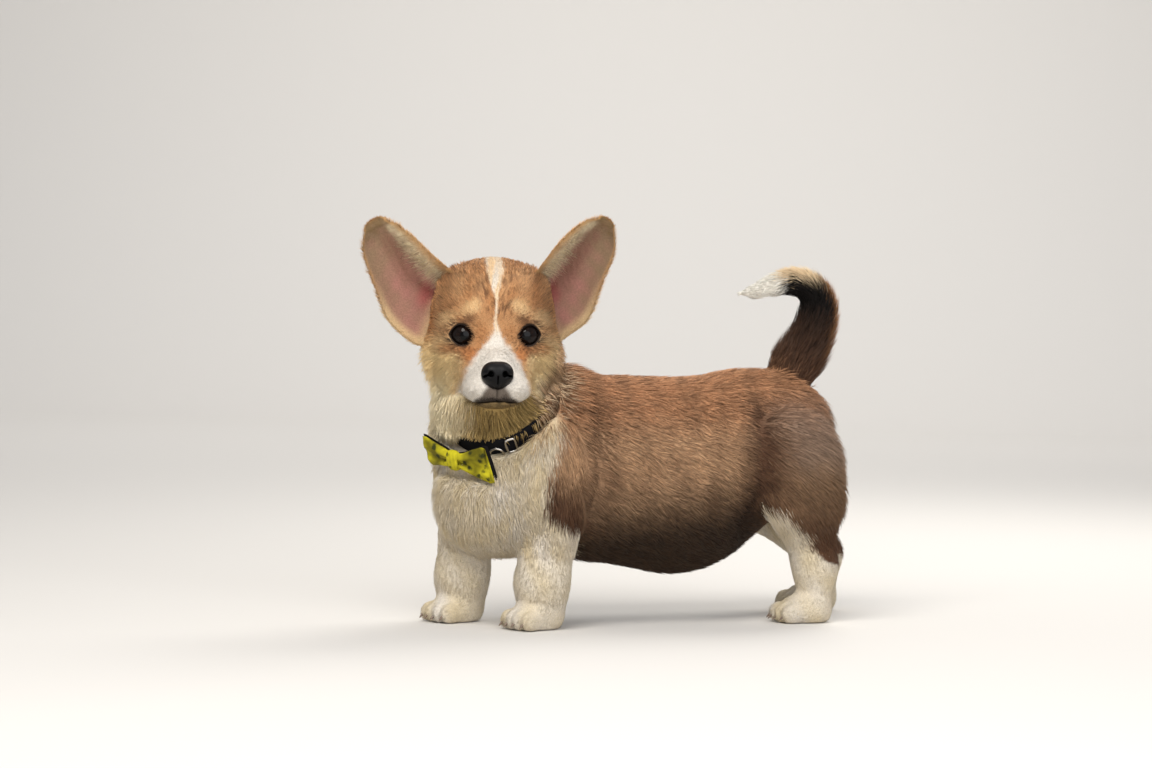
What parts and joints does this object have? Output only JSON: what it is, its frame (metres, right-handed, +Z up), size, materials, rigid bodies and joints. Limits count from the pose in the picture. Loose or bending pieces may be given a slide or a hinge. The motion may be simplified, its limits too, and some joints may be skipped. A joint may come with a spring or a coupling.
{
  "type": "puppy model",
  "caption": "Life-size museum model of a standing corgi puppy looking over its left shoulder, wearing a collar with a bow.",
  "frame": {"origin": "middle of the footprint of the whole, on the floor", "axes": "+X towards the chest, along the body; +Y to the dog's left; +Z up"},
  "size_m": [0.4386, 0.1716, 0.3224],
  "materials": {
    "face_coat": "short dense fur, tan with a white blaze and muzzle",
    "body_coat": "plush fur, grey-brown sable",
    "white_coat": "plush fur, cream white",
    "tail_coat": "plush fur, black-brown shading to tan",
    "ear_coat": "very short fur over pink skin",
    "eye": "wet gloss, dark brown",
    "nose_leather": "moist pebbled skin, black",
    "collar_webbing": "woven webbing, black",
    "bow_cloth": "printed cotton, yellow-green with small dark sprigs",
    "bright_metal": "polished"
  },
  "bodies": {
    "root": {"head": "face_coat", "jaw": "white_coat", "nose": "nose_leather", "eye_left": "eye", "eye_right": "eye", "ear_left": "ear_coat", "ear_right": "ear_coat", "neck": "white_coat", "chest": "white_coat", "barrel": "body_coat", "rump": "body_coat", "foreleg_left": "white_coat", "forepaw_left": "white_coat", "foreleg_right": "white_coat", "forepaw_right": "white_coat", "thigh_left": "body_coat", "shank_left": "white_coat", "hindpaw_left": "white_coat", "thigh_right": "body_coat", "shank_right": "white_coat", "hindpaw_right": "white_coat", "tail_root": "tail_coat", "tail_middle": "tail_coat", "tail_tip": "white_coat", "collar": "collar_webbing", "bow_wing_front": "bow_cloth", "bow_wing_back": "bow_cloth", "bow_knot": "bow_cloth", "tag_ring": "bright_metal", "buckle": "bright_metal"}
  },
  "joints": []
}
